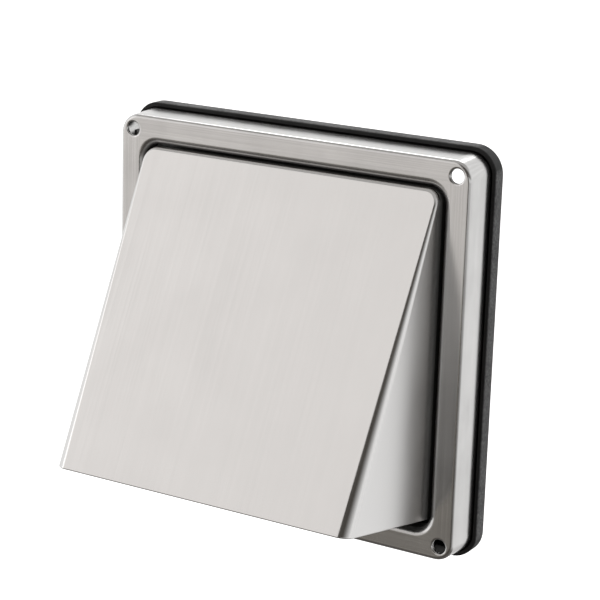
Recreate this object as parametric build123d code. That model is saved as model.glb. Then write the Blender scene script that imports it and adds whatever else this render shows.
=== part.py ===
from build123d import *

import os
from math import atan2, cos, degrees, hypot, radians, sin, sqrt, tan

# Square wall vent for an exhaust duct: a pressed steel frame on a rubber seal, a sloped sheet hood,
# and a moulded base with a duct spigot and a gravity flap. Millimetres.
# X runs to the right, Y into the wall and Z up. The origin is on the duct's axis, in the wall's plane.

# Moulded duct base
spigot_size = 98.5
spigot_wall = 2.5
spigot_length = 40.0
spigot_lead = 1.0
seat_width = 3.5
seat_height = 4.0
base_wall = 2.4
base_gap = 0.2
base_low_gap = 1.36
tray_wall = 2.0
tray_depth = 9.0
tray_low_gap = 6.1

# Flap and its hinge
flap_gap = 0.3
flap_wall = 1.6
flap_cover = 1.5
flap_corner = 6.0
rim_width = 1.8
rim_height = 2.5
pin_size = 3.0
pin_end_gap = 0.3
pin_seat_gap = 0.03
pin_run_gap = 0.08
pin_behind_flap = 0.2
barrel_size = 6.4
barrel_length = 20.0
barrel_gap = 0.5
ear_size = 8.0
ear_wall = 4.0
ear_gap = 0.7
ear_head_gap = 0.55

# Folded hood
hood_sheet = 0.6
hood_side_gap = 1.2
hood_top_gap = 0.8
hood_projection = 55.7
hood_fold_out = 0.3
hood_corner = 5.0
fold_radius = 1.2
bend_top = 1.2
bend_bottom = 4.6
mouth_gap = 0.92
mouth_fall_deg = 11.0
flange_top_half = 54.0
flange_cheek_high = 54.0
flange_end_gap = 0.7
flange_lip = 6.0

# Pressed frame
frame_width = 10.1
frame_depth = 15.2
frame_sheet = 0.6
frame_flare = 0.9
frame_corner = 7.2
frame_crease = 1.4
opening_corner_gap = 1.0
roll_radius = 3.0
roll_depth = 6.0
screw_inset = 5.4
screw_hole = 5.2
screw_edge = 0.4

# Wall seal
seal_rim = 1.6
seal_width = 4.5
seal_seat = 3.5
seal_lip = 1.8
seal_lip_gap = 0.3
seal_edge = 0.5

# Rivets between the hood's cheeks and the base
rivet_size = 3.2
rivet_gap = 0.05
rivet_head = 6.4
rivet_head_height = 1.1
rivet_tail = 4.6
rivet_tail_height = 1.4
rivet_spread = 60.0

# Length by which a cutting shape runs past what it cuts
overrun = 20.0

# Heights and widths, worked outwards from the duct
duct_bore = spigot_size - 2 * spigot_wall
seat_size = duct_bore + 2 * seat_width
flap_half = seat_size / 2 + flap_cover
ear_x = flap_half + ear_gap
pin_z = seat_size / 2 + barrel_gap + barrel_size / 2
base_top = pin_z + ear_size / 2 + ear_head_gap + tray_wall
hood_top = base_top + base_gap + hood_sheet
opening_size = 2 * (hood_top + hood_top_gap)
opening_corner = hood_corner + opening_corner_gap
hood_half = opening_size / 2 - hood_side_gap
base_half = hood_half - hood_sheet - base_gap
base_corner = hood_corner - hood_sheet - base_gap
frame_size = opening_size + 2 * frame_width
rim_size = frame_size + 2 * frame_flare
rim_corner = frame_corner + frame_flare
tray_low = -(opening_size / 2 - tray_low_gap)
screw_spacing = frame_size - 2 * screw_inset
seal_size = rim_size + 2 * (seal_lip_gap + seal_rim)
seal_corner = rim_corner + seal_lip_gap + seal_rim

# Depths, worked forwards from the wall
seat_y = -seal_seat
face_y = seat_y - frame_depth
fold_y = face_y - hood_fold_out
base_front_y = seat_y - base_wall
seat_front_y = base_front_y - seat_height
flap_back_y = seat_front_y - flap_gap
pin_y = flap_back_y - pin_behind_flap

# The lean of the frame's walls, which flare out towards the wall
frame_lean = atan2(frame_flare, frame_depth)


def frame_inside(y):
    """Distance from the middle to the inner face of the frame's wall, at depth y."""
    return rim_size / 2 - frame_sheet - (seat_y - y) * tan(frame_lean)


base_low = -(frame_inside(base_front_y) - base_low_gap)

# The hood's slope, from the fold at its top to the front of its mouth
mouth_fall = radians(mouth_fall_deg)
mouth_rear_z = -(opening_size / 2 - mouth_gap)
mouth_front_z = mouth_rear_z + (hood_projection + frame_depth) * tan(mouth_fall)
panel_drop = hood_top - mouth_front_z
panel_out = hood_projection - hood_fold_out
slope = atan2(panel_out, panel_drop)
panel_length = hypot(panel_out, panel_drop)


def upright(y):
    """Plane parallel to the wall at depth y, facing the front: its own x is X and its own y is Z."""
    return Plane.XZ.offset(-y)


def slab(face, y_back, y_front):
    """A flat outline, drawn in the wall's plane, made solid from y_back forward to y_front."""
    return extrude(upright(y_back) * face, y_back - y_front)


def square(size, corner):
    return RectangleRounded(size, size, corner)


def front_edges(solid):
    return solid.faces().sort_by(Axis.Y)[0].edges()


def screw_places():
    return GridLocations(screw_spacing, screw_spacing, 2, 2)


def make_wall_seal():
    """Rubber ring under the frame's rim, with a lip that stands up round the rim."""
    outline = square(seal_size, seal_corner)
    ring = outline - square(seal_size - 2 * seal_width, seal_corner - seal_width)
    around_rim = outline - square(rim_size + 2 * seal_lip_gap, rim_corner + seal_lip_gap)
    lip = slab(around_rim, seat_y, seat_y - seal_lip)
    outer_edges = lip.faces().sort_by(Axis.Y)[0].outer_wire().edges()
    lip = chamfer(outer_edges, seal_edge)
    return slab(ring, 0, seat_y) + lip


def flared_block(inset, y_front):
    """Block inside the frame's walls, moved in by the inset: square at the wall, leaning in to the front."""
    block = slab(square(rim_size - 2 * inset, rim_corner - inset), seat_y, y_front)
    sides = block.faces().filter_by(Axis.Y, reverse=True)
    return draft(sides, upright(seat_y), degrees(frame_lean))


def make_screw_cut(place):
    """One punched screw hole, its front edge drawn in by the punch."""
    radius = screw_hole / 2
    edge = upright(face_y + screw_edge) * place * Cone(
        radius, radius + screw_edge, screw_edge, align=(Align.CENTER, Align.CENTER, Align.MIN)
    )
    return edge + upright(face_y) * place * Cylinder(radius, frame_depth)


def make_front_frame():
    """Pressed sheet: side walls, crease, flat ring, and the inner edge rolled back into the opening."""
    outside = flared_block(0, face_y)
    outside = fillet(front_edges(outside), frame_crease)
    inside = flared_block(frame_sheet, face_y + frame_sheet)
    crease_inside = (frame_crease - frame_sheet) * (2 - sqrt(2))
    inside = chamfer(front_edges(inside), crease_inside)
    collar_size = opening_size + 2 * frame_sheet
    collar = slab(square(collar_size, opening_corner + frame_sheet), face_y + roll_depth, face_y + frame_sheet / 2)
    frame = outside - inside + collar
    root_edges = [
        edge
        for edge in frame.edges().filter_by(Plane.XZ)
        if abs(edge.center().Y - face_y - frame_sheet) < frame_sheet / 10
        and max(abs(edge.center().X), abs(edge.center().Z)) < collar_size / 2 + frame_sheet / 10
    ]
    frame = fillet(root_edges, roll_radius - frame_sheet)
    frame -= slab(square(opening_size, opening_corner), face_y + overrun, face_y - overrun)
    opening_edges = frame.faces().sort_by(Axis.Y)[0].inner_wires()[0].edges()
    frame = fillet(opening_edges, roll_radius)
    return frame - [make_screw_cut(place) for place in screw_places()]


def panel_plane(distance):
    """Plane square to the hood's front panel, a distance down the panel: its own y points inwards."""
    origin = (0, fold_y - distance * sin(slope), hood_top - distance * cos(slope))
    return Plane(origin=origin, x_dir=(1, 0, 0), z_dir=(0, sin(slope), cos(slope)))


def bend_corner(side, inset):
    """Metal outside one conical bend: the corner of panel and cheek, less the cone that touches both."""
    straight_at = hood_corner / cos(slope)
    growth = (bend_bottom - bend_top) / (panel_length - straight_at)
    tip_at = straight_at - (bend_top - inset) / growth
    start = hood_sheet / cos(slope)
    end = panel_length + overrun
    start_bend = growth * (start - tip_at)
    end_bend = growth * (end - tip_at)
    edge = Pos(side * (hood_half - inset), inset)
    narrow = panel_plane(start) * edge * Rectangle(2 * start_bend, 2 * start_bend)
    wide = panel_plane(end) * edge * Rectangle(2 * end_bend, 2 * end_bend)
    tip = (panel_plane(tip_at) * edge).position
    axis = (panel_plane(end) * edge * Pos(-side * end_bend, end_bend)).position - tip
    end_radius = end_bend * sqrt((1 + 2 * growth**2) / (1 + growth**2))
    longer = 1 + end_bend / axis.length
    cone = Cone(0, longer * end_radius, longer * axis.length, align=(Align.CENTER, Align.CENTER, Align.MIN))
    return loft([narrow, wide], ruled=True) - Plane(tip, z_dir=axis) * cone


def hood_form(inset):
    """The hood as a full solid, its outer skin moved in by the inset: fold, front panel, bends, cheeks."""
    top = hood_top - inset
    low = mouth_rear_z - overrun
    fold_at = inset * (1 - sin(slope)) / cos(slope)
    fold = (panel_plane(fold_at) * Pos(0, inset)).position
    past_mouth = (panel_plane(panel_length + overrun) * Pos(0, inset)).position
    rear_y = seat_y + overrun
    side_view = Polyline((rear_y, top), (fold.Y, top), (past_mouth.Y, past_mouth.Z), (rear_y, low), close=True)
    profile = make_face(side_view)
    fold_vertex = profile.vertices().sort_by_distance((fold.Y, top))[0]
    profile = fillet(fold_vertex, fold_radius - inset)
    form = extrude(Plane.YZ * profile, hood_half, both=True)
    outline = RectangleRounded(2 * (hood_half - inset), top - low, hood_corner - inset)
    form &= slab(Pos(0, (top + low) / 2) * outline, rear_y, past_mouth.Y)
    return form - bend_corner(-1, inset) - bend_corner(1, inset)


def make_flange(wall_at, turn, root_ends, lip_ends):
    """Rear flange of one hood wall, with a lip turned forward along the inside of the frame's wall."""
    lip_y = seat_y - flange_lip
    bend_y = seat_y - hood_sheet
    profile = Polyline(
        (seat_y, wall_at - hood_sheet),
        (seat_y, frame_inside(seat_y)),
        (lip_y, frame_inside(lip_y)),
        (lip_y, frame_inside(lip_y) - hood_sheet),
        (bend_y, frame_inside(bend_y) - hood_sheet),
        (bend_y, wall_at - hood_sheet),
        close=True,
    )
    flange = extrude(Plane.YZ * make_face(profile), rim_size / 2, both=True)
    outline = Polyline(
        (root_ends[0], wall_at - hood_sheet),
        (root_ends[1], wall_at - hood_sheet),
        (lip_ends[1], frame_inside(seat_y)),
        (lip_ends[0], frame_inside(seat_y)),
        close=True,
    )
    flange &= slab(make_face(outline), seat_y, lip_y)
    return Rot(0, turn, 0) * flange


def rivet_places():
    """Points on the right cheek where a rivet goes through, and the same on the left."""
    depth = (base_front_y + seat_y - tray_depth) / 2
    return [
        Plane((side * hood_half, depth, height), z_dir=(side, 0, 0))
        for side in (-1, 1)
        for height in (-rivet_spread / 2, rivet_spread / 2)
    ]


def rivet_holes():
    return [place * Cylinder(rivet_size / 2 + rivet_gap, overrun) for place in rivet_places()]


def make_hood():
    """One sheet: front panel, cheeks, top folded back, and flanges welded inside the frame's walls."""
    lower_edge = (0, face_y - hood_projection, mouth_front_z)
    mouth = Plane(lower_edge, x_dir=(1, 0, 0), z_dir=(0, sin(mouth_fall), cos(mouth_fall)))
    body = split(hood_form(0), bisect_by=upright(seat_y), keep=Keep.TOP)
    body = split(body, bisect_by=mouth, keep=Keep.TOP)
    hood = body - hood_form(hood_sheet)
    lip_half = rim_size / 2 - rim_corner - flange_end_gap
    cheek_low = mouth_rear_z + flange_end_gap
    hood += make_flange(hood_top, 0, (-flange_top_half, flange_top_half), (-lip_half, lip_half))
    hood += make_flange(hood_half, 90, (-flange_cheek_high, -cheek_low), (-flange_cheek_high, lip_half))
    hood += make_flange(hood_half, -90, (cheek_low, flange_cheek_high), (-lip_half, flange_cheek_high))
    return hood - rivet_holes()


def base_outline(inset):
    width = 2 * (base_half - inset)
    height = base_top - base_low
    return Pos(0, (base_top + base_low) / 2 - inset) * RectangleRounded(width, height, base_corner - inset)


def make_ear(side):
    """Lug on the base that holds one end of the hinge pin."""
    reach = base_front_y - pin_y
    lug = Pos(pin_y + reach / 2, pin_z) * Rectangle(reach, ear_size) + Pos(pin_y, pin_z) * Circle(ear_size / 2)
    lug -= Pos(pin_y, pin_z) * Circle(pin_size / 2 + pin_seat_gap)
    return Pos(side * (ear_x + ear_wall / 2), 0, 0) * extrude(Plane.YZ * lug, ear_wall / 2, both=True)


def make_duct_base():
    """Moulded plate between the cheeks, with a rim, the flap's seat, two ears and the duct spigot."""
    plate = slab(base_outline(0), seat_y, base_front_y)
    rim = slab(base_outline(0) - base_outline(tray_wall), seat_y, seat_y - tray_depth)
    rim = split(rim, bisect_by=Plane.XY.offset(tray_low), keep=Keep.TOP)
    seat = slab(Circle(seat_size / 2), base_front_y, seat_front_y)
    spigot = slab(Circle(spigot_size / 2), spigot_length, seat_y)
    spigot = chamfer(spigot.faces().sort_by(Axis.Y)[-1].edges(), spigot_lead)
    base = plate + rim + seat + spigot + make_ear(-1) + make_ear(1)
    base -= slab(Circle(duct_bore / 2), spigot_length + overrun, seat_front_y - overrun)
    return base - rivet_holes()


def make_flap():
    """Moulded flap with a stiffening rim, hung from two barrels on the hinge pin."""
    top_z = pin_z - barrel_size / 2 + flap_wall / 2
    height = top_z + flap_half
    outline = Pos(0, top_z - height / 2) * RectangleRounded(2 * flap_half, height, flap_corner)
    inner_size = (2 * (flap_half - rim_width), height - 2 * rim_width, flap_corner - rim_width)
    inner = Pos(0, top_z - height / 2) * RectangleRounded(*inner_size)
    flap_front_y = flap_back_y - flap_wall
    flap = slab(outline, flap_back_y, flap_front_y)
    flap += slab(outline - inner, flap_front_y, flap_front_y - rim_height)
    for side in (-1, 1):
        middle = side * (flap_half - barrel_length / 2)
        web_height = pin_z - top_z + flap_corner
        web = Pos(middle, pin_z - web_height / 2) * Rectangle(barrel_length, web_height)
        flap += slab(web, flap_back_y, flap_front_y)
        barrel = Plane.YZ.offset(middle) * Pos(pin_y, pin_z) * Cylinder(barrel_size / 2, barrel_length)
        flap += barrel
    bore = Plane.YZ * Pos(pin_y, pin_z) * Cylinder(pin_size / 2 + pin_run_gap, 2 * ear_x)
    return flap - bore


def make_hinge_pin():
    length = 2 * (base_half - tray_wall - pin_end_gap)
    return Plane.YZ * Pos(pin_y, pin_z) * Cylinder(pin_size / 2, length)


def make_base_rivets():
    """Blind rivets: a head outside the cheek, and the set end inside the base's rim."""
    grip = hood_sheet + base_gap + tray_wall
    down = (Align.CENTER, Align.CENTER, Align.MAX)
    up = (Align.CENTER, Align.CENTER, Align.MIN)
    head = Cylinder(rivet_head / 2, rivet_head_height, align=up)
    shank = Cylinder(rivet_size / 2, grip, align=down)
    tail = Pos(0, 0, -grip) * Cylinder(rivet_tail / 2, rivet_tail_height, align=down)
    rivet = head + shank + tail
    return Compound([place * rivet for place in rivet_places()])


parts = {
    "wall_seal": make_wall_seal(),
    "front_frame": make_front_frame(),
    "hood": make_hood(),
    "duct_base": make_duct_base(),
    "flap": make_flap(),
    "hinge_pin": make_hinge_pin(),
    "base_rivets": make_base_rivets(),
}

os.makedirs("parts", exist_ok=True)
for name, part in parts.items():
    export_step(part, f"parts/{name}.step")
    print(name, round(part.volume), "mm3")
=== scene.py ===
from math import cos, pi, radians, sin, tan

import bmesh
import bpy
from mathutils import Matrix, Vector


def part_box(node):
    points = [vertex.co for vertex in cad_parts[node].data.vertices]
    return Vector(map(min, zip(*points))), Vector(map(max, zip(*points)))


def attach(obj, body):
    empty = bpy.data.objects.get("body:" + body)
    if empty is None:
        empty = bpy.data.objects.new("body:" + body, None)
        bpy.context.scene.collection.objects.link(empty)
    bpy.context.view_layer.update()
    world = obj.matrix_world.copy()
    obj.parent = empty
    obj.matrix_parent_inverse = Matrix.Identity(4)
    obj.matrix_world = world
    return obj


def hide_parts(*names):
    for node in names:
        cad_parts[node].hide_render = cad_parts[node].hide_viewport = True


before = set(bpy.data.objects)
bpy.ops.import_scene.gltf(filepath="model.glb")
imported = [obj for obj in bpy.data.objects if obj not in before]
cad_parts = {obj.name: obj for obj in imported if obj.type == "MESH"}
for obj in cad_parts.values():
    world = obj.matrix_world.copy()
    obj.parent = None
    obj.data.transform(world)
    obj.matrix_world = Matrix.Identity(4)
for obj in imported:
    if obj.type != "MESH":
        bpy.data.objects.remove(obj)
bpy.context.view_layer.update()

# %% [markdown]
# # A stainless wall vent with a sloped hood
# This lesson dresses a square exhaust vent: a pressed steel frame on a black rubber seal, a hood folded
# from one sheet, and a moulded base with a duct spigot and a gravity flap. The frame loaded above holds
# the true sizes and the moving bodies. The solids could be shown as they are, but their triangles shade
# unevenly, so every piece below is made again as a clean mesh in the same place.

MM = 0.001
TOUCH = 0.01 * MM
SHEET = 0.6 * MM
FRAME_FLARE = 0.9 * MM
FRAME_CORNER = 7.2 * MM
RING_WIDTH = 10.1 * MM
HOOD_SIDE_GAP = 1.2 * MM
frame_low, frame_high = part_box("front_frame")
seal_low, seal_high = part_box("wall_seal")
rim_half = frame_high.x
frame_half = rim_half - FRAME_FLARE
opening_half = frame_half - RING_WIDTH
hood_half = opening_half - HOOD_SIDE_GAP
seal_half = seal_high.x
face_y = frame_low.y
seat_y = frame_high.y
wall_lean = FRAME_FLARE / (seat_y - face_y)
print("frame", round(2 * frame_half / MM, 1), "mm wide, front face at", round(face_y / MM, 1), "mm")

# %% [markdown]
# ## The camera
# The photograph looks down at the vent from its right. The angles and the lens come from its straight
# edges: the frame's sides, the hood's edges and the seal. A camera could also be aimed by eye, but a fit to
# the edges puts every corner where it belongs. A long lens keeps the sides nearly parallel.

# %% Camera
CAMERA_AZIMUTH = radians(30.72)
CAMERA_ELEVATION = radians(15.37)
CAMERA_ROLL = radians(1.75)
CAMERA_PLACE = Vector((0.3715, -0.6324, 0.2099))
CAMERA_SENSOR = 36
CAMERA_LENS = 124.3
camera_data = bpy.data.cameras.new("camera")
camera_data.sensor_width = CAMERA_SENSOR
camera_data.lens = CAMERA_LENS
camera = bpy.data.objects.new("camera", camera_data)
bpy.context.scene.collection.objects.link(camera)
look = Vector((
    -sin(CAMERA_AZIMUTH) * cos(CAMERA_ELEVATION),
    cos(CAMERA_AZIMUTH) * cos(CAMERA_ELEVATION),
    -sin(CAMERA_ELEVATION),
))
facing = look.to_track_quat("-Z", "Y").to_matrix().to_4x4()
roll = Matrix.Rotation(CAMERA_ROLL, 4, "Z")
camera.matrix_world = Matrix.Translation(CAMERA_PLACE) @ facing @ roll
bpy.context.scene.camera = camera
print("camera at", [round(value, 3) for value in CAMERA_PLACE])

# %% [markdown]
# ## Loops and bridges
# A pressed frame, a seal and a spigot all have one section that runs round an outline. Such a shape could
# be swept along a curve, but a row of closed loops joined by bridges gives full control of its corners. A
# rounded square is a square whose four corners are bevelled, so a bevel of the vertices gives true arcs,
# and every loop has the same number of points to bridge.

# %% Helpers for loops
CORNER_STEPS = 12
ROUND_STEPS = 96


def square_loop(bm, half, corner, y, steps=CORNER_STEPS, half_up=None, middle=(0, 0)):
    """Closed loop of edges: a rounded rectangle about the middle, parallel to the wall at depth y."""
    half_up = half if half_up is None else half_up
    made = bmesh.ops.create_grid(bm, x_segments=1, y_segments=1, size=1)["verts"]
    shape = Matrix.Diagonal((half, half_up, 1, 1))
    bmesh.ops.transform(bm, matrix=Matrix.Rotation(pi / 2, 4, "X") @ shape, verts=made)
    bmesh.ops.translate(bm, vec=(middle[0], y, middle[1]), verts=made)
    done = bmesh.ops.bevel(bm, geom=made, offset=corner, segments=steps, profile=0.5,
                           affect="VERTICES", material=-1)
    rim = done["verts"][0].link_faces[0]
    edges = list(rim.edges)
    bmesh.ops.delete(bm, geom=[rim], context="FACES_ONLY")
    return edges


def edges_at(verts):
    """The edges at some vertices, each one once, in the same order at every run."""
    return list(dict.fromkeys(edge for vert in verts for edge in vert.link_edges))


def round_loop(bm, radius, y, middle=(0, 0), steps=ROUND_STEPS):
    """Closed loop of edges: a circle parallel to the wall at depth y."""
    place = Matrix.Translation((middle[0], y, middle[1])) @ Matrix.Rotation(pi / 2, 4, "X")
    made = bmesh.ops.create_circle(bm, segments=steps, radius=radius, matrix=place)["verts"]
    return edges_at(made)


def fill_ring(bm, outer, inner, holes=()):
    """Flat sheet between two loops at the same depth, left open at the holes."""
    edges = outer + inner + [edge for hole in holes for edge in hole]
    bmesh.ops.triangle_fill(bm, edges=edges, use_beauty=True)


def bridge(bm, loops):
    """Joins each loop to the next one: flat where both lie at one depth, else as a band."""
    for near, far in zip(loops, loops[1:]):
        step = near[0].verts[0].co.y - far[0].verts[0].co.y
        if abs(step) < TOUCH:
            fill_ring(bm, near, far)
        else:
            bmesh.ops.bridge_loops(bm, edges=near + far)


def arc(steps, start_deg, end_deg):
    """Cosines and sines along an arc."""
    turns = [radians(start_deg + (end_deg - start_deg) * i / steps) for i in range(steps + 1)]
    return [(cos(turn), sin(turn)) for turn in turns]


print("loop tools ready")

# %% [markdown]
# ## From a mesh to a piece
# Every piece ends the same way: doubles are merged, faces turned outwards, rounds shaded smooth and creases
# kept sharp. A closed solid has two faces on every edge, so counting the other edges finds a hole before a
# render does.

# %% Helper for finished pieces
SMOOTH_ANGLE = radians(35)
EVEN_WEIGHT = 100


def new_piece(bm, name, body, material, node):
    """Turns a mesh into a finished piece: outward faces, smooth rounds, its body, slot and CAD node."""
    bmesh.ops.remove_doubles(bm, verts=bm.verts, dist=TOUCH)
    bmesh.ops.recalc_face_normals(bm, faces=bm.faces)
    open_edges = sum(1 for edge in bm.edges if len(edge.link_faces) != 2)
    mesh = bpy.data.meshes.new(name)
    bm.to_mesh(mesh)
    bm.free()
    mesh.shade_smooth()
    mesh.set_sharp_from_angle(angle=SMOOTH_ANGLE)
    piece = bpy.data.objects.new(name, mesh)
    bpy.context.scene.collection.objects.link(piece)
    weighted = piece.modifiers.new("even_shading", "WEIGHTED_NORMAL")
    weighted.keep_sharp = True
    weighted.weight = EVEN_WEIGHT
    mesh.materials.append(material)
    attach(piece, body)
    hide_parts(node)
    print(name, len(mesh.polygons), "faces,", open_edges, "open edges")


print("piece tool ready")

# %% [markdown]
# ## Writing shaders as sums
# A finish is a formula: a colour that depends on noise, a roughness that depends on place. It could be wired
# up node by node, but it is easier to read as an expression. This small class wraps one socket, so that
# plus, minus and times add the Math nodes, and one method adds any other node.

# %% Socket class
NOISE_LOW = 0.3
NOISE_HIGH = 0.7


class Value:
    """One node socket that can be added, multiplied and passed on."""

    def __init__(self, tree, socket=None):
        self.tree = tree
        self.socket = socket

    def node(self, kind, settings=None, inputs=None, output=0):
        """Adds a node: its settings first, then a value or a link for each named input."""
        node = self.tree.nodes.new(kind)
        for key, value in (settings or {}).items():
            setattr(node, key, value)
        for key, value in (inputs or {}).items():
            target = node.inputs[key]
            if isinstance(value, Value):
                self.tree.links.new(value.socket, target)
            else:
                target.default_value = value
        return Value(self.tree, node.outputs[output])

    def math(self, operation, other, swapped=False):
        """A Math node on this value and another one."""
        pair = (other, self) if swapped else (self, other)
        return self.node("ShaderNodeMath", {"operation": operation}, dict(enumerate(pair)))

    def __add__(self, other):
        return self.math("ADD", other)

    __radd__ = __add__

    def __mul__(self, other):
        return self.math("MULTIPLY", other)

    __rmul__ = __mul__

    def __sub__(self, other):
        return self.math("SUBTRACT", other)

    def __rsub__(self, other):
        return self.math("SUBTRACT", other, swapped=True)

    def size(self):
        """The value without its sign."""
        return self.math("ABSOLUTE", 0.0)

    def largest(self, other):
        """The larger of two values."""
        return self.math("MAXIMUM", other)

    def axes(self):
        """The three coordinates, each by itself."""
        apart = self.node("ShaderNodeSeparateXYZ", {}, {"Vector": self})
        return [Value(self.tree, output) for output in apart.socket.node.outputs]

    def reach(self):
        """How far out from the vent's middle a place lies, measured along a square."""
        x, y, z = self.axes()
        return x.size().largest(z.size())

    def stretched(self, scale):
        """The same coordinates, scaled along each axis."""
        return self.node("ShaderNodeMapping", {}, {"Vector": self, "Scale": scale})

    def noise(self, scale, detail=3.0, roughness=0.55):
        """Soft noise, mostly between the two noise levels."""
        return self.node("ShaderNodeTexNoise", {}, {
            "Vector": self, "Scale": scale, "Detail": detail, "Roughness": roughness,
        })

    def spread(self, low, high, to_low=0.0, to_high=1.0):
        """Maps low..high to another range, and stops at its ends."""
        return self.node("ShaderNodeMapRange", {"clamp": True}, {
            "Value": self, "From Min": low, "From Max": high, "To Min": to_low, "To Max": to_high,
        })

    def swing(self, to_low=0.0, to_high=1.0):
        """Noise that swings over a whole range."""
        return self.spread(NOISE_LOW, NOISE_HIGH, to_low, to_high)

    def blend(self, first, second):
        """A colour between two colours, by this share."""
        return self.node("ShaderNodeMix", {"data_type": "RGBA"}, {
            "Factor": self, "A": first, "B": second,
        }, output=2)


print("socket class ready")

# %% [markdown]
# ## One class for every finish
# Steel, rubber and plastic all start from the same main shader. Each material could be set up by itself,
# but one class keeps them alike. Numbers that are the same all over are set on the shader's sockets once.
# What changes over the surface is fed in, read on object coordinates, so that the pattern stays on the piece
# when it moves.

# %% Finish class


class Finish:
    """A material with one main shader, read on object coordinates."""

    def __init__(self, name, **constants):
        self.material = bpy.data.materials.new(name)
        self.material.use_nodes = True
        self.tree = self.material.node_tree
        self.shader = self.tree.nodes["Principled BSDF"]
        for key, value in constants.items():
            self.shader.inputs[key.replace("_", " ")].default_value = value
        self.place = Value(self.tree).node("ShaderNodeTexCoord", output="Object")

    def feed(self, socket, value):
        """Links a value to one socket of the shader."""
        self.tree.links.new(value.socket, self.shader.inputs[socket])

    def bump(self, height, strength, distance):
        """Tilts the surface by a height."""
        bumped = self.place.node("ShaderNodeBump", {}, {
            "Height": height, "Strength": strength, "Distance": distance,
        })
        self.feed("Normal", bumped)


print("finish class ready")

# %% [markdown]
# ## Painted shade in the gap
# Such a sheet is usually ground on the sides that show, and the cheeks, hard to reach once bent, are left
# coarser.
# Behind the frame's ring, on the inner side of its lower wall and on the cheeks close to the ring, the
# steel's colour is darkened almost to black. This is painted shade for the gap, and the same masks make the
# metal rougher there.
# The gap could be left to shadow alone, but polished walls throw light back and forth in it, and it would
# look too pale. So three masks on the coordinates say where the shade is painted.

# %% Masks for painted shade
# Painted shade: the masks below blend the steel's colour towards this dark tint, and raise its roughness with
# it.
PAINTED_SHADE_TINT = (0.1, 0.097, 0.093, 1)
DULL_ROUGHNESS = 0.6
CHEEK_SHADE_AND_DULLNESS = 0.6
CHEEK_ROUGHNESS = 0.14


def behind_ring(place):
    """Share of painted shade, with a rougher surface, behind the frame's ring and in front of the seal."""
    depth = place.axes()[1]
    deep = depth.spread(face_y + 0.2 * MM, face_y + 2.2 * MM)
    before_seal = depth.spread(seat_y - 1.5 * MM, seat_y - 3.0 * MM)
    return deep * before_seal * place.reach().spread(frame_half - 5.5 * MM, frame_half - 6.5 * MM)


def on_cheeks(place):
    """1 on the hood's two cheeks, 0 on its panel and its folds."""
    return place.axes()[0].size().spread(hood_half - 0.7 * MM, hood_half - 0.1 * MM)


def low_inside(place):
    """Share of painted shade, with a rougher surface, on the inner side of the frame's lower wall."""
    x, depth, z = place.axes()
    drop = 0.0 - z
    inner = (drop - wall_lean * (depth - face_y)).spread(frame_half - 0.25 * MM, frame_half - 0.35 * MM)
    deep = depth.spread(face_y + 1.1 * MM, face_y + 1.3 * MM)
    straight_half = frame_half - FRAME_CORNER
    straight = x.size().spread(straight_half + 0.4 * MM, straight_half - 0.1 * MM)
    return inner * deep * straight * drop.spread(frame_half - 6.0 * MM, frame_half - 5.0 * MM)


print("masks ready, hood half width", round(hood_half / MM, 1), "mm")

# %% [markdown]
# ## Brushed stainless steel
# Grinding leaves fine scratches that all run one way. They could be a picture, but long noise cells do it
# at any scale: the coordinates are squeezed across the grain and stretched along it. The scratches change the
# roughness a little and tilt the surface a little, which draws reflections out across the grain.

# %% Grain
GRAIN_ACROSS = 2400.0
GRAIN_ALONG = 12.0
BAND_SHARE = 0.06
POLISH_CLOUDS = 45.0
SCRATCH_DEPTH = 0.03 * MM


def grain_along(place, axes):
    """Fine scratches and broad bands that run along the named axes."""
    scale = tuple(GRAIN_ALONG if axis in axes else GRAIN_ACROSS for axis in "xyz")
    fine = place.stretched(scale).noise(1.0, detail=4.0)
    broad = place.stretched(tuple(BAND_SHARE * value for value in scale)).noise(1.0, detail=2.0)
    return fine, broad


def finish_steel(steel, grain, tint, mottle, strength, roughness, shade_and_dullness=None, coarse=None):
    """Colour, roughness and bump from the scratches, soft clouds from the polish, and painted shade with more
    roughness where the mask says.
    """
    fine, broad = grain
    clouds = steel.place.noise(POLISH_CLOUDS)
    shade = fine.swing(0.0, 0.45) + broad.swing(0.0, 0.15) + clouds.swing(0.0, 0.4)
    darker = tuple((1 - mottle) * channel for channel in tint) + (1,)
    colour = shade.blend(darker, tint + (1,))
    rough = fine.swing(-0.03, 0.03) + broad.swing(-0.01, 0.01)
    rough = rough + clouds.swing(roughness - 0.02, roughness + 0.02)
    # Painted shade: where the mask is high, the colour is darkened towards the dark tint, and the roughness
    # is raised.
    if shade_and_dullness is not None:
        colour = shade_and_dullness.blend(colour, PAINTED_SHADE_TINT)
        rough = rough + shade_and_dullness * DULL_ROUGHNESS
    if coarse is not None:
        rough = rough + coarse * CHEEK_ROUGHNESS
    steel.feed("Base Color", colour)
    steel.feed("Roughness", rough)
    steel.bump(fine, strength, SCRATCH_DEPTH)
    return steel.material


print("grain", GRAIN_ACROSS / GRAIN_ALONG, "times longer than wide")

# %% [markdown]
# ## The steel of the hood and of the frame
# The hood's grain runs up and down. The frame is ground along its four bars, so its grain turns at the
# corners, along the diagonals. The frame could be cut into four bars with a material each, but a soft share
# between two grains keeps it one sheet.

# %% Two steels
MITRE = 1.0 * MM
STEEL_TINT = (0.75, 0.742, 0.733)


def folded_steel(name, axes, mottle, strength, roughness):
    """Ground sheet of the hood, with coarser cheeks, and painted shade with more roughness behind the ring
    and on the cheeks close to it.
    """
    steel = Finish(name, Metallic=1.0)
    cheeks = on_cheeks(steel.place)
    close = steel.place.axes()[1].spread(face_y - 2.6 * MM, face_y + 0.5 * MM)
    # Painted shade: darkens the hood behind the ring and on the cheeks next to the gap.
    shade_and_dullness = behind_ring(steel.place).largest(CHEEK_SHADE_AND_DULLNESS * cheeks * close)
    grain = grain_along(steel.place, axes)
    return finish_steel(steel, grain, STEEL_TINT, mottle, strength, roughness, shade_and_dullness, cheeks)


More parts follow.
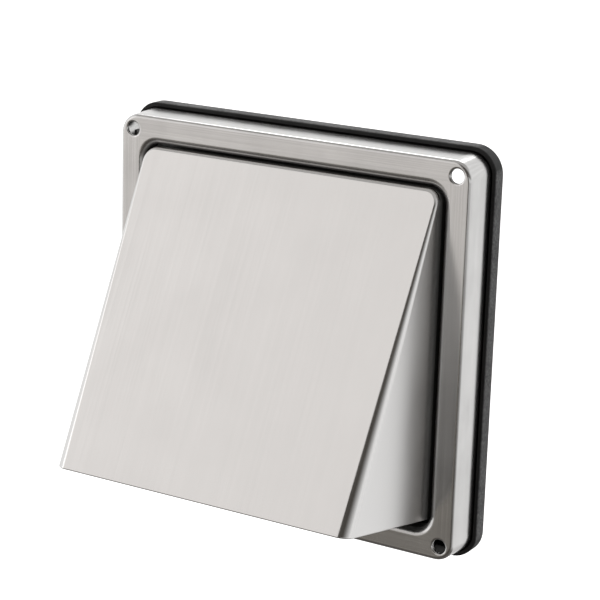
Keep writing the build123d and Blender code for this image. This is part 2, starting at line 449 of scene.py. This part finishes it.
def barred_steel(name, mottle, strength, roughness):
    """Ground frame: the grain follows each bar and changes at the diagonals."""
    steel = Finish(name, Metallic=1.0)
    x, y, z = steel.place.axes()
    share = (x.size() - z.size()).spread(-MITRE, MITRE)
    pairs = zip(grain_along(steel.place, "yz"), grain_along(steel.place, "xy"))
    grain = [upright * share + level * (1 - share) for upright, level in pairs]
    # Painted shade: darkens the frame behind its ring and on the inner side of its lower wall.
    shade_and_dullness = behind_ring(steel.place).largest(low_inside(steel.place))
    return finish_steel(steel, grain, STEEL_TINT, mottle, strength, roughness, shade_and_dullness)


hood_steel = folded_steel("hood_steel", "yz", mottle=0.07, strength=0.08, roughness=0.18)
frame_steel = barred_steel("frame_steel", mottle=0.3, strength=0.16, roughness=0.21)
print("steel:", hood_steel.name, frame_steel.name)

# %% [markdown]
# ## The pressed frame
# The frame is drawn from one sheet: a wall all round that flares a little, a tight crease, a flat ring, and
# an inner edge that is rolled back into the opening. It could be a box with a hole and bevels, but then the
# wall's flare and the sheet's even thickness are hard to keep. So its section is walked along the outside
# and again along the inside, with one rounded-square loop at each step.

# %% Loops of the frame
FRAME_CREASE = 1.4 * MM
ROLL_RADIUS = 3.0 * MM
ROLL_DEPTH = 6.0 * MM
OPENING_CORNER = 6.0 * MM


def frame_skin(bm, inset):
    """Loops of one side of the sheet, moved into the metal by the inset: wall and crease, roll and collar."""
    rim = rim_half - inset
    crease = FRAME_CREASE - inset
    y_face = face_y + inset
    outer = [square_loop(bm, rim, FRAME_CORNER + rim - frame_half, seat_y)]
    for across, down in arc(8, 3, 90):
        y = y_face + crease * (1 - down)
        out = rim - wall_lean * (seat_y - y) - crease * (1 - across)
        outer.append(square_loop(bm, out, FRAME_CORNER + out - frame_half, y))
    curl = ROLL_RADIUS - inset
    collar_half = opening_half + inset
    collar_corner = OPENING_CORNER + inset
    inner = []
    for across, down in arc(10, 90, 0):
        out = curl * (1 - across)
        inner.append(square_loop(bm, collar_half + out, collar_corner + out, y_face + curl * (1 - down)))
    inner.append(square_loop(bm, collar_half, collar_corner, face_y + ROLL_DEPTH))
    return outer, inner


print("opening", round(2 * opening_half / MM, 1), "mm wide")

# %% [markdown]
# ## Screw holes and the finished frame
# The corner holes are drawn in by the punch, so each has a soft dimple round a short collar. A boolean cut
# would leave a razor edge, so the ring is filled round the dimple's outer loop instead, on the front and on
# the back of the sheet, and rings of loops run through the hole.

# %% Front frame
SCREW_INSET = 5.4 * MM
SCREW_RADIUS = 2.6 * MM
SCREW_DIMPLE = 3.5 * MM
SCREW_DEPTH = 0.45 * MM
SCREW_STEPS = 40


def screw_centres():
    """The four screw holes, in the ring's corners."""
    reach = frame_half - SCREW_INSET
    return [(x, z) for x in (-reach, reach) for z in (-reach, reach)]


def hole_rings(bm, middle):
    """Rings of one drawn-in hole, from the front of the sheet to its back."""
    lip = SCREW_DIMPLE - SCREW_RADIUS
    edge_y = face_y + SCREW_DEPTH
    path = [(SCREW_RADIUS + lip * (1 - across), face_y + SCREW_DEPTH * (1 - down))
            for across, down in arc(6, 90, 20)]
    path += [(SCREW_RADIUS, edge_y), (SCREW_RADIUS, edge_y + SHEET), (SCREW_DIMPLE, face_y + SHEET)]
    return [round_loop(bm, radius, y, middle, SCREW_STEPS) for radius, y in path]


def build_front_frame():
    """Outside and inside of the sheet, joined at both edges, with the ring filled round its holes."""
    bm = bmesh.new()
    outside_wall, outside_roll = frame_skin(bm, 0)
    inside_wall, inside_roll = frame_skin(bm, SHEET)
    for loops in (outside_wall, outside_roll, inside_wall, inside_roll):
        bridge(bm, loops)
    bridge(bm, [outside_wall[0], inside_wall[0]])
    bridge(bm, [outside_roll[-1], inside_roll[-1]])
    front_holes = []
    back_holes = []
    for middle in screw_centres():
        rings = hole_rings(bm, middle)
        bridge(bm, rings)
        front_holes.append(rings[0])
        back_holes.append(rings[-1])
    fill_ring(bm, outside_wall[-1], outside_roll[0], front_holes)
    fill_ring(bm, inside_wall[-1], inside_roll[0], back_holes)
    new_piece(bm, "pressed_frame", "vent", frame_steel, "front_frame")


build_front_frame()

# %% [markdown]
# ## The folded hood
# The hood is one sheet: the front panel falls forward, its two sides are bent back as cheeks, and the top
# is folded back into the opening. It could be drawn as flat panels, but then the bends between them have to
# be fitted by hand. So it starts as a block with the hood's front outline, which two planes will cut: the
# panel's and the mouth's.

# %% Block for the hood
HOOD_TOP_GAP = 0.8 * MM
HOOD_CORNER = 5.0 * MM
HOOD_FOLD_OUT = 0.3 * MM
BEND_STEPS = 12
MOUTH_FALL = radians(11)
MOUTH_GAP = 0.92 * MM
CUT_MARGIN = 20.0 * MM
hood_top = opening_half - HOOD_TOP_GAP
hood_front_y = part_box("hood")[0].y
mouth_rear_z = MOUTH_GAP - opening_half
mouth_front_z = mouth_rear_z + (seat_y - hood_front_y) * tan(MOUTH_FALL)
fold = Vector((0, face_y - HOOD_FOLD_OUT, hood_top))
lower_edge = Vector((0, hood_front_y, mouth_front_z))
panel_normal = Vector((0, -(fold.z - lower_edge.z), fold.y - lower_edge.y)).normalized()
mouth_normal = Vector((0, sin(MOUTH_FALL), cos(MOUTH_FALL)))


def everything(bm):
    """All of a mesh, as the cutting operators want it."""
    return bm.verts[:] + bm.edges[:] + bm.faces[:]


def hood_block():
    """Block with rounded top corners, open at the back, that reaches past the panel and the mouth."""
    bm = bmesh.new()
    made = bmesh.ops.create_grid(bm, x_segments=1, y_segments=1, size=1)["verts"]
    low = mouth_rear_z - CUT_MARGIN
    shape = Matrix.Diagonal((hood_half, (hood_top - low) / 2, 1, 1))
    bmesh.ops.transform(bm, matrix=Matrix.Rotation(pi / 2, 4, "X") @ shape, verts=made)
    bmesh.ops.translate(bm, vec=(0, seat_y, (hood_top + low) / 2), verts=made)
    corners = [vert for vert in made if vert.co.z > 0]
    bmesh.ops.bevel(bm, geom=corners, offset=HOOD_CORNER, segments=BEND_STEPS, profile=0.5,
                    affect="VERTICES", material=-1)
    rear = bm.faces[:]
    grown = bmesh.ops.extrude_face_region(bm, geom=rear)["geom"]
    front_verts = [item for item in grown if isinstance(item, bmesh.types.BMVert)]
    bmesh.ops.translate(bm, vec=(0, hood_front_y - CUT_MARGIN - seat_y, 0), verts=front_verts)
    bmesh.ops.delete(bm, geom=rear, context="FACES_ONLY")
    return bm


print("hood", round((face_y - hood_front_y) / MM, 1), "mm out from the ring")

# %% [markdown]
# ## The hood's bends
# A press bends the sides sharply at the top and more gently at the bottom, so each side bend is a slim cone.
# A bevel with a growing width could be set edge by edge. Here the panel's edge is bevelled to the tight bend
# all round, and the lower end of each bend is then scaled up about the corner that it was cut from.

# %% Outer skin of the hood
BEND_TOP = 1.2 * MM
BEND_BOTTOM = 4.6 * MM
SAME_WAY = 0.001


def hood_skin():
    """Outer skin of the hood: top, rounded top corners, front panel, conical bends and cheeks."""
    bm = hood_block()
    cut = bmesh.ops.bisect_plane(bm, geom=everything(bm), plane_co=fold, plane_no=panel_normal,
                                 clear_outer=True)
    edges = [item for item in cut["geom_cut"] if isinstance(item, bmesh.types.BMEdge)]
    bmesh.ops.contextual_create(bm, geom=edges)
    bmesh.ops.bisect_plane(bm, geom=everything(bm), plane_co=lower_edge, plane_no=mouth_normal,
                           clear_inner=True)
    sloped = [face for face in bm.faces if face.normal.cross(panel_normal).length < SAME_WAY]
    panel = max(sloped, key=lambda face: face.calc_area())
    bends = [edge for edge in panel.edges if len(edge.link_faces) == 2]
    bmesh.ops.bevel(bm, geom=bends, offset=BEND_TOP, segments=BEND_STEPS, profile=0.5,
                    affect="EDGES", material=-1)
    for side in (-1, 1):
        corner = Vector((side * hood_half, lower_edge.y, lower_edge.z))
        ring = [vert for vert in bm.verts if (vert.co - corner).length < 2 * BEND_TOP]
        bmesh.ops.scale(bm, vec=(BEND_BOTTOM / BEND_TOP,) * 3, space=Matrix.Translation(-corner), verts=ring)
    return bm


print("bends from", round(BEND_TOP / MM, 1), "to", round(BEND_BOTTOM / MM, 1), "mm")

# %% [markdown]
# ## The hood's flanges
# Behind the ring, the hood's top and cheeks turn out into narrow flanges, whose lips are welded to the
# frame's wall. They could be folded out of the skin, but no view shows their bends, so plain blocks are
# enough, with the lip leaned to the wall.

# %% Flanges
FLANGE_LIP = 6.0 * MM
WELD_GAP = 0.02 * MM


def add_block(bm, x_ends, y_ends, z_ends):
    """Block between two ends along each axis."""
    made = bmesh.ops.create_cube(bm, size=1)["verts"]
    ends = [Vector(corner) for corner in zip(x_ends, y_ends, z_ends)]
    bmesh.ops.scale(bm, vec=ends[1] - ends[0], verts=made)
    bmesh.ops.translate(bm, vec=(ends[0] + ends[1]) / 2, verts=made)
    return made


def add_flange(bm, wall_at, turn, root_ends, lip_ends):
    """Strip along the seal, with a lip that leans with the frame's wall, where it is welded on."""
    inside = rim_half - SHEET
    middle = sum(root_ends) / 2
    plate = add_block(bm, root_ends, (seat_y - SHEET, seat_y), (wall_at - SHEET, inside))
    tips = [vert for vert in plate if vert.co.z > wall_at]
    starts = [vert for vert in tips if vert.co.x < middle]
    stops = [vert for vert in tips if vert.co.x > middle]
    bmesh.ops.translate(bm, vec=(lip_ends[0] - root_ends[0], 0, 0), verts=starts)
    bmesh.ops.translate(bm, vec=(lip_ends[1] - root_ends[1], 0, 0), verts=stops)
    lip = add_block(bm, lip_ends, (seat_y - FLANGE_LIP, seat_y), (inside - SHEET, inside - WELD_GAP))
    front = [vert for vert in lip if vert.co.y < seat_y - FLANGE_LIP / 2]
    bmesh.ops.translate(bm, vec=(0, 0, -FLANGE_LIP * wall_lean), verts=front)
    bmesh.ops.rotate(bm, cent=(0, 0, 0), matrix=Matrix.Rotation(turn, 3, "Y"), verts=plate + lip)


print("flange lips", round(FLANGE_LIP / MM, 1), "mm deep")

# %% [markdown]
# ## The hood's mouth
# The mouth is a sheared edge: its outer side is drawn round by the shear, and its inner side is only broken.
# A Bevel modifier would round every other edge too, so the edges that lie on the mouth's plane are picked
# out and bevelled, the inner ones a little and the outer ones more.

# %% Hood
FLANGE_HALF = 54.0 * MM
CHEEK_FLANGE_TOP = 59.0 * MM
FLANGE_END_GAP = 0.7 * MM
EDGE_ROLL = 0.42 * MM
EDGE_BREAK = 0.12 * MM
EDGE_STEPS = 4
MOUTH_NEAR = 0.7 * MM


def round_mouth(bm, outside, offset):
    """Rounds the edge of the cut sheet round the mouth, on its outside or its inside."""
    bm.normal_update()
    within = Vector((0, face_y, lower_edge.z / 2))
    cut = [face for face in bm.faces
           if all(abs((vert.co - lower_edge).dot(mouth_normal)) < MOUTH_NEAR for vert in face.verts)]
    edges = []
    for edge in dict.fromkeys(edge for face in cut for edge in face.edges):
        skins = [face for face in edge.link_faces if face not in cut]
        if len(skins) == 1:
            outwards = (skins[0].calc_center_median() - within).dot(skins[0].normal) > 0
            if outwards == outside:
                edges.append(edge)
    bmesh.ops.bevel(bm, geom=edges, offset=offset, segments=EDGE_STEPS, profile=0.5,
                    affect="EDGES", material=-1)
    print("rounded", len(edges), "edges of the mouth")


def build_hood():
    """Skin with its thickness, rounded mouth and three flanges."""
    bm = hood_skin()
    bmesh.ops.remove_doubles(bm, verts=bm.verts, dist=TOUCH)
    bmesh.ops.recalc_face_normals(bm, faces=bm.faces)
    bmesh.ops.solidify(bm, geom=bm.faces[:], thickness=SHEET)
    round_mouth(bm, False, EDGE_BREAK)
    round_mouth(bm, True, EDGE_ROLL)
    lip_end = frame_half - FRAME_CORNER - FLANGE_END_GAP
    low_end = mouth_rear_z + FLANGE_END_GAP
    lip_ends = (-lip_end, lip_end)
    add_flange(bm, hood_top, 0, (-FLANGE_HALF, FLANGE_HALF), lip_ends)
    add_flange(bm, hood_half, pi / 2, (-CHEEK_FLANGE_TOP, -low_end), lip_ends)
    add_flange(bm, hood_half, -pi / 2, (low_end, CHEEK_FLANGE_TOP), lip_ends)
    new_piece(bm, "folded_hood", "vent", hood_steel, "hood")


build_hood()

# %% [markdown]
# ## Rubber and moulded plastic
# The seal is black foam rubber: dull, with fine pores that catch light from the side as pale specks. The
# base and flap are moulded in black plastic, with the fine spark texture that a mould gives. Plain black
# would look like a hole in the picture, so noise varies the colour and the gloss a little and lifts a grain.

# %% Rubber and plastic
PORE_SCALE = 1500.0
PORE_DEPTH = 0.1 * MM
GRAIN_DEPTH = 0.05 * MM
RUBBER_SKIN = ((0.004, 0.004, 0.004, 1), (0.012, 0.012, 0.012, 1))
RUBBER_EDGE = ((0.05, 0.05, 0.051, 1), (0.16, 0.16, 0.16, 1))


def foam_rubber(name):
    """Dull skin on the faces, and a paler, rougher edge where the ring was cut."""
    rubber = Finish(name)
    pores = rubber.place.noise(PORE_SCALE, detail=4.0, roughness=0.7)
    clouds = rubber.place.noise(90.0)
    cut = rubber.place.reach().spread(seal_half - 0.4 * MM, seal_half - 0.1 * MM)
    specks = pores.spread(0.42, 0.66)
    rubber.feed("Base Color", cut.blend(specks.blend(*RUBBER_SKIN), specks.blend(*RUBBER_EDGE)))
    rubber.feed("Roughness", clouds.swing(0.6, 0.85))
    rubber.bump(pores, 0.5, PORE_DEPTH)
    return rubber.material


def moulded_plastic(name, colour, grain_scale):
    """Black plastic with slow flow marks and the mould's fine grain."""
    plastic = Finish(name, Specular_IOR_Level=0.3)
    grain = plastic.place.noise(grain_scale, detail=2.0)
    flow = plastic.place.noise(35.0)
    lighter = tuple(1.6 * channel for channel in colour) + (1,)
    plastic.feed("Base Color", flow.swing().blend(colour + (1,), lighter))
    plastic.feed("Roughness", flow.swing(0.38, 0.52))
    plastic.bump(grain, 0.25, GRAIN_DEPTH)
    return plastic.material


seal_rubber = foam_rubber("seal_rubber")
base_plastic = moulded_plastic("base_plastic", (0.008, 0.008, 0.0085), 2200.0)
flap_plastic = moulded_plastic("flap_plastic", (0.011, 0.011, 0.0115), 2600.0)
print("rubber and plastic:", seal_rubber.name, base_plastic.name, flap_plastic.name)

# %% [markdown]
# ## The wall seal
# The seal lies between the frame and the wall, and keeps rain out of the joint. Its seat is flat, and a lip
# stands up round the frame's rim. A flat ring would be quicker, but the lip's edge shows all round, so the
# seal is a section walked round the vent, like the frame. The screws pass inside its ring.

# %% Wall seal
SEAL_LIP_GAP = 0.3 * MM
SEAL_WIDTH = 4.5 * MM
SEAL_EDGE = 0.55 * MM
lip_half = rim_half + SEAL_LIP_GAP
lip_y = seal_low.y


def seal_loop(bm, half, y):
    """One loop of the seal's section: the corners keep one centre."""
    return square_loop(bm, half, FRAME_CORNER + half - frame_half, y)


def build_wall_seal():
    """Section from the wall up the outside, over the lip and down to the seat and the inner edge."""
    bm = bmesh.new()
    loops = [seal_loop(bm, seal_half, 0)]
    for across, down in arc(5, 0, 90):
        loops.append(seal_loop(bm, seal_half - SEAL_EDGE * (1 - across), lip_y + SEAL_EDGE * (1 - down)))
    edge = SEAL_EDGE / 2
    for across, down in arc(4, 90, 0):
        loops.append(seal_loop(bm, lip_half + edge * (1 - across), lip_y + edge * (1 - down)))
    loops.append(seal_loop(bm, lip_half, seat_y))
    loops += [seal_loop(bm, seal_half - SEAL_WIDTH, y) for y in (seat_y, 0)]
    bridge(bm, loops + loops[:1])
    new_piece(bm, "rubber_seal", "vent", seal_rubber, "wall_seal")


build_wall_seal()

# %% [markdown]
# ## Softened sections
# Moulded plastic has no razor edges: every corner of the mould is a little round. The edges could be
# bevelled one by one at the end. It is simpler to write a section as a few points of size and depth, soften
# its corners, and make a loop for each point.

# %% Helpers for moulded and turned pieces
TURN_STEPS = 40


def soften(path, radius, steps=4):
    """Rounds the corners of a section, which is a row of points of size and depth in millimetres."""
    points = [Vector(point) * MM for point in path]
    done = [points[0]]
    for before, corner, after in zip(points, points[1:], points[2:]):
        cut = min(radius * MM, (before - corner).length / 2, (after - corner).length / 2)
        start = corner + (before - corner).normalized() * cut
        end = corner + (after - corner).normalized() * cut
        for i in range(steps + 1):
            done.append(start.lerp(corner, i / steps).lerp(corner.lerp(end, i / steps), i / steps))
    return done + [points[-1]]


def cap_ends(bm, loops):
    """Closes the first and the last loop with a flat face."""
    for loop in (loops[0], loops[-1]):
        bmesh.ops.edgeloop_fill(bm, edges=loop)


def add_turned(bm, path, place, closed=False):
    """Round shape about the Y axis from points of radius and depth, then put in its place."""
    old = set(bm.verts)
    loops = [round_loop(bm, radius, depth, steps=TURN_STEPS) for radius, depth in path]
    if closed:
        bridge(bm, loops + loops[:1])
    else:
        bridge(bm, loops)
        cap_ends(bm, loops)
    bmesh.ops.transform(bm, matrix=place, verts=[vert for vert in bm.verts if vert not in old])


def along_x(x, y, z, side=1):
    """Place of a turned shape whose axis runs along X, to the right or to the left."""
    return Matrix.Translation((x, y, z)) @ Matrix.Rotation(-side * pi / 2, 4, "Z")


print("section tools ready")

# %% [markdown]
# ## The moulded base
# Behind the hood, a plastic base carries the duct spigot at its back and the flap's seat at its front. A rim
# stands round its upper part, where rivets hold it between the cheeks. A cylinder cut out of a box would
# leave hard edges. So spigot and seat are one turned section, and the plate between them is filled out to a
# square edge. The sizes of the sections are in millimetres.

# %% Plate, spigot and rim of the base
BASE_CORNER = 4.2 * MM
BASE_CORNER_STEPS = 8
LEAST_CORNER = 0.5 * MM
RIM_END_Z = -56.0 * MM
PLATE_BACK = -3.5
PLATE_FRONT = -5.9
SPIGOT_RADIUS = 49.25
SPIGOT_END = 40.0
BORE_RADIUS = 46.75
SEAT_RADIUS = 50.25
SEAT_FRONT = -9.9
RIM_SECTION = [(0.02, -5.0), (0.02, -12.5), (2.0, -12.5), (2.0, -5.0)]
PLATE_EDGE = [(2.0, PLATE_BACK), (0.0, PLATE_BACK), (0.0, PLATE_FRONT), (2.0, PLATE_FRONT)]
SPIGOT_SECTION = [
    (52.5, PLATE_BACK), (SPIGOT_RADIUS, PLATE_BACK), (SPIGOT_RADIUS, SPIGOT_END),
    (BORE_RADIUS, SPIGOT_END), (BORE_RADIUS, SEAT_FRONT), (SEAT_RADIUS, SEAT_FRONT),
    (SEAT_RADIUS, PLATE_FRONT), (53.0, PLATE_FRONT),
]
base_low, base_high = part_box("duct_base")
base_up = (base_high.z - base_low.z) / 2
base_middle = (base_high.z + base_low.z) / 2


def base_loop(bm, inset, y):
    """One loop of the base's outline, moved in by the inset."""
    corner = max(BASE_CORNER - inset, LEAST_CORNER)
    half = base_high.x - inset
    return square_loop(bm, half, corner, y, BASE_CORNER_STEPS, base_up - inset, (0, base_middle))


def add_base_rim(bm):
    """Rim round the upper part of the plate, open at the bottom."""
    loops = [base_loop(bm, inset, y) for inset, y in soften(RIM_SECTION, 0.6)]
    bridge(bm, loops + loops[:1])
    bmesh.ops.bisect_plane(bm, geom=everything(bm), plane_co=(0, 0, RIM_END_Z), plane_no=(0, 0, 1),
                           clear_inner=True)
    bmesh.ops.holes_fill(bm, edges=[edge for edge in bm.edges if edge.is_boundary])


def add_plate_and_spigot(bm):
    """Plate, flap seat and spigot, with the duct's bore right through."""
    rounds = [round_loop(bm, radius, y) for radius, y in soften(SPIGOT_SECTION, 0.9, steps=5)]
    edge = [base_loop(bm, inset, y) for inset, y in soften(PLATE_EDGE, 0.5)]
    bridge(bm, rounds)
    bridge(bm, edge)
    fill_ring(bm, edge[0], rounds[0])
    fill_ring(bm, edge[-1], rounds[-1])


print("bore", 2 * BORE_RADIUS, "mm, spigot", 2 * SPIGOT_RADIUS, "mm")

# %% [markdown]
# ## The pin's ears
# Two ears on the base hold the flap's pin. Each is a block whose nose is rounded about the pin. A cylinder
# could be joined to a block, but the seam between them would show. So the two front edges of a cube get a
# bevel of nearly the whole radius, which makes a half round in one step.

# %% Duct base
PIN_Y = -10.4 * MM
PIN_Z = 53.95 * MM
NEARLY_ALL = 0.98
EAR_STEPS = 12
EAR_RADIUS = 4.0 * MM
EAR_ROOT_Y = -5.0 * MM
EAR_NEAR = 52.45 * MM
EAR_FAR = 56.45 * MM


def add_ear(bm, x_ends):
    """Lug with a round nose that holds one end of the flap's pin."""
    nose_y = PIN_Y - EAR_RADIUS
    made = add_block(bm, x_ends, (nose_y, EAR_ROOT_Y), (PIN_Z - EAR_RADIUS, PIN_Z + EAR_RADIUS))
    front = [edge for edge in edges_at(made)
             if all(abs(vert.co.y - nose_y) < TOUCH for vert in edge.verts)
             and abs(edge.verts[0].co.z - edge.verts[1].co.z) < TOUCH]
    bmesh.ops.bevel(bm, geom=front, offset=NEARLY_ALL * EAR_RADIUS, segments=EAR_STEPS, profile=0.5,
                    affect="EDGES", material=-1)


def build_base():
    """Rim, plate and spigot, and one ear on each side."""
    bm = bmesh.new()
    add_base_rim(bm)
    add_plate_and_spigot(bm)
    add_ear(bm, (EAR_NEAR, EAR_FAR))
    add_ear(bm, (-EAR_FAR, -EAR_NEAR))
    new_piece(bm, "moulded_base", "vent", base_plastic, "duct_base")


build_base()

# %% [markdown]
# ## The gravity flap
# The flap hangs in front of the seat and closes by its own weight, so that no wind blows back into the duct.
# It is a thin moulded plate with a rim that keeps it stiff, and two barrels that turn on the pin. Plate and
# rim are one section again, with its first and last loop closed. The flap rides on its own body, so that it
# swings.

# %% Flap
FLAP_HALF = 51.75 * MM
FLAP_TOP = 51.55 * MM
FLAP_CORNER = 6.0 * MM
FLAP_SECTION = [(8.0, -10.2), (0.0, -10.2), (0.0, -14.3), (1.8, -14.3), (1.8, -11.8), (8.0, -11.8)]
BARREL_END = 10.0
BARREL_SECTION = [
    (2.4, -BARREL_END), (3.2, -BARREL_END), (3.2, BARREL_END),
    (1.58, BARREL_END), (1.58, -BARREL_END), (2.4, -BARREL_END),
]
WEB_Y = (-11.75 * MM, -10.25 * MM)
WEB_Z = (44.0 * MM, 52.0 * MM)
flap_up = (FLAP_TOP + FLAP_HALF) / 2
flap_middle = (FLAP_TOP - FLAP_HALF) / 2


def flap_loop(bm, inset, y):
    """One loop of the flap's outline, moved in by the inset."""
    corner = max(FLAP_CORNER - inset, LEAST_CORNER)
    return square_loop(bm, FLAP_HALF - inset, corner, y, CORNER_STEPS, flap_up - inset, (0, flap_middle))


def build_flap():
    """Plate with its rim, and a barrel and its web on each side."""
    bm = bmesh.new()
    loops = [flap_loop(bm, inset, y) for inset, y in soften(FLAP_SECTION, 0.6)]
    bridge(bm, loops)
    cap_ends(bm, loops)
    barrel = soften(BARREL_SECTION, 0.3)[:-1]
    for side in (-1, 1):
        middle = side * (FLAP_HALF - BARREL_END * MM)
        add_turned(bm, barrel, along_x(middle, PIN_Y, PIN_Z), closed=True)
        add_block(bm, (middle - BARREL_END * MM, middle + BARREL_END * MM), WEB_Y, WEB_Z)
    new_piece(bm, "gravity_flap", "flap", flap_plastic, "flap")


build_flap()

# %% [markdown]
# ## The pin and the rivets
# The flap hangs on a length of drawn wire. Four blind rivets hold the base: each has a low domed head with
# the hole of its broken-off stem outside the cheek, and a set end inside. They could be plain cylinders, but
# each piece is also kept as a mesh of its own, so all of them are turned sections in bright metal.

# %% Pin and rivets
RIVET_Y = -9.2 * MM
RIVET_Z = 30.0 * MM
RIVET_SECTION = [
    (0.5, -4.2), (2.3, -4.2), (2.3, -2.8), (1.6, -2.8), (1.6, 0.0), (3.2, 0.0), (3.2, 0.45),
    (1.3, 1.1), (0.9, 1.1), (0.8, 0.6), (0.3, 0.6),
]
pin_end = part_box("hinge_pin")[1].x / MM
PIN_SECTION = [(0.6, -pin_end), (1.5, -pin_end), (1.5, pin_end), (0.6, pin_end)]


def drawn_metal(name, axes, tint):
    """Bright metal all over, with its grain along the named axes."""
    metal = Finish(name, Metallic=1.0)
    grain = grain_along(metal.place, axes)
    return finish_steel(metal, grain, tint, mottle=0.05, strength=0.05, roughness=0.18)


def build_pin():
    """One rod with soft ends."""
    bm = bmesh.new()
    add_turned(bm, soften(PIN_SECTION, 0.4), along_x(0, PIN_Y, PIN_Z))
    pin_steel = drawn_metal("pin_steel", "x", (0.66, 0.66, 0.66))
    new_piece(bm, "flap_pin", "vent", pin_steel, "hinge_pin")


def build_rivets():
    """Two rivets through each cheek, heads outwards."""
    bm = bmesh.new()
    for side in (-1, 1):
        for z in (-RIVET_Z, RIVET_Z):
            add_turned(bm, soften(RIVET_SECTION, 0.3), along_x(side * hood_half, RIVET_Y, z, side))
    rivet_metal = drawn_metal("rivet_metal", "yz", (0.78, 0.78, 0.79))
    new_piece(bm, "blind_rivets", "vent", rivet_metal, "base_rivets")


build_pin()
build_rivets()

# %% [markdown]
# ## The room
# Bare metal is a picture of its room, so the room does most of the work here. It is white behind the vent
# and to its sides, mid grey overhead, and dark in front, where the bends pick up their dark lines. Low down
# in front it is lighter on the left, with a bright horizon on the right. A ready-made picture of a room would
# do too, but a few soft borders between directions are easy to move until the reflections fit. The camera
# itself sees plain white.

# %% Room
ROOM_WHITE = (1.0, 1.0, 1.0, 1)
ROOM_DARK = (0.075, 0.068, 0.06, 1)
ROOM_LOW = (0.23, 0.215, 0.195, 1)
ROOM_ROOF = (0.5, 0.49, 0.48, 1)


def make_room():
    """White behind and at the sides, dark in front, grey overhead, and plain white for the camera."""
    world = bpy.data.worlds.new("room")
    bpy.context.scene.world = world
    world.use_nodes = True
    tree = world.node_tree
    way = Value(tree).node("ShaderNodeTexCoord", output="Generated")
    seen = way.node("ShaderNodeLightPath", output="Is Camera Ray")
    x, y, z = way.axes()
    low = z.spread(0.05, -0.25)
    right = x.spread(0.2, 0.6)
    behind = y.spread(-0.1, 0.15).largest(low * y.spread(-0.7, 0.2)).largest(right * y.spread(-0.75, 0.1))
    left = (x - 0.12 * z).spread(-0.64, -0.84)
    horizon = x.spread(0.15, 0.4) * z.spread(0.12, 0.0) * z.spread(-0.28, -0.18)
    below_roof = z.spread(0.85, 0.6)
    above_ground = z.spread(-0.75, -0.5, 0.1, 1.0)
    white = behind.largest(left).largest(horizon) * below_roof * above_ground
    low_left = low * z.spread(-0.6, -0.42) * x.spread(0.25, -0.05)
    front = z.spread(0.6, 0.8).blend(low_left.blend(ROOM_DARK, ROOM_LOW), ROOM_ROOF)
    colour = seen.largest(white).blend(front, ROOM_WHITE)
    tree.links.new(colour.socket, tree.nodes["Background"].inputs["Color"])
    print("room with", len(tree.nodes), "nodes")


make_room()

# %% [markdown]
# ## The floor
# The vent hangs on a wall in use, and in the photograph it floats on white. A pale floor far below keeps a
# ground for the other views without touching the object. Its glow is for the camera only, so that it reads
# as white paper and adds no light to the metal.

# %% Floor
FLOOR_DROP = 0.42
FLOOR_SIZE = 6.0
FLOOR_GLOW = 0.85


def make_floor():
    """Large pale plane below the vent."""
    bm = bmesh.new()
    bmesh.ops.create_grid(bm, x_segments=1, y_segments=1, size=FLOOR_SIZE)
    bmesh.ops.translate(bm, vec=(0, 0, -FLOOR_DROP), verts=bm.verts)
    mesh = bpy.data.meshes.new("floor")
    bm.to_mesh(mesh)
    bm.free()
    floor = bpy.data.objects.new("floor", mesh)
    bpy.context.scene.collection.objects.link(floor)
    paint = Finish("floor_paint", Roughness=0.9, Base_Color=(0.8, 0.8, 0.8, 1), Emission_Strength=FLOOR_GLOW)
    paint.feed("Emission Color", paint.place.node("ShaderNodeLightPath", output="Is Camera Ray"))
    mesh.materials.append(paint.material)
    floor.visible_glossy = False
    print("floor", FLOOR_DROP, "m below the vent")


make_floor()

# %% [markdown]
# ## The soft boxes
# One large soft box at the front left lights the panel and the upper bars. It is made of two lamps, because
# its lower part is weaker and leaves the bottom bar in half shade. A third box lights the top edge from
# behind. A lamp's power is spread over its area, so each power is worked out from how bright the box should
# look in the metal, and a box can change its size without changing its brightness.

# %% Lamps
BOX_TINT = (1.0, 0.975, 0.965)
PLAIN_WHITE = (1.0, 1.0, 1.0)


def soft_box(name, place, aim, width, height, level, colour):
    """A rectangular lamp that looks as bright as the level says, whatever its size."""
    data = bpy.data.lights.new(name, "AREA")
    data.shape = "RECTANGLE"
    data.size = width
    data.size_y = height
    data.energy = level * pi * width * height
    data.color = colour
    lamp = bpy.data.objects.new(name, data)
    bpy.context.scene.collection.objects.link(lamp)
    aimed = (Vector(aim) - Vector(place)).to_track_quat("-Z", "Y").to_matrix().to_4x4()
    lamp.matrix_world = Matrix.Translation(place) @ aimed
    print(name, round(data.energy, 3), "W")


soft_box("key_box", (-0.34, -0.55, 0.36), (0, 0, 0.36), 0.64, 0.6, 0.86, BOX_TINT)
soft_box("low_box", (-0.34, -0.55, -0.07), (0, 0, -0.07), 0.64, 0.24, 0.6, BOX_TINT)
soft_box("back_box", (-0.25, 0.55, 0.75), (0, 0, 0), 0.7, 0.35, 3.5, PLAIN_WHITE)
bpy.context.scene.view_settings.view_transform = "Standard"
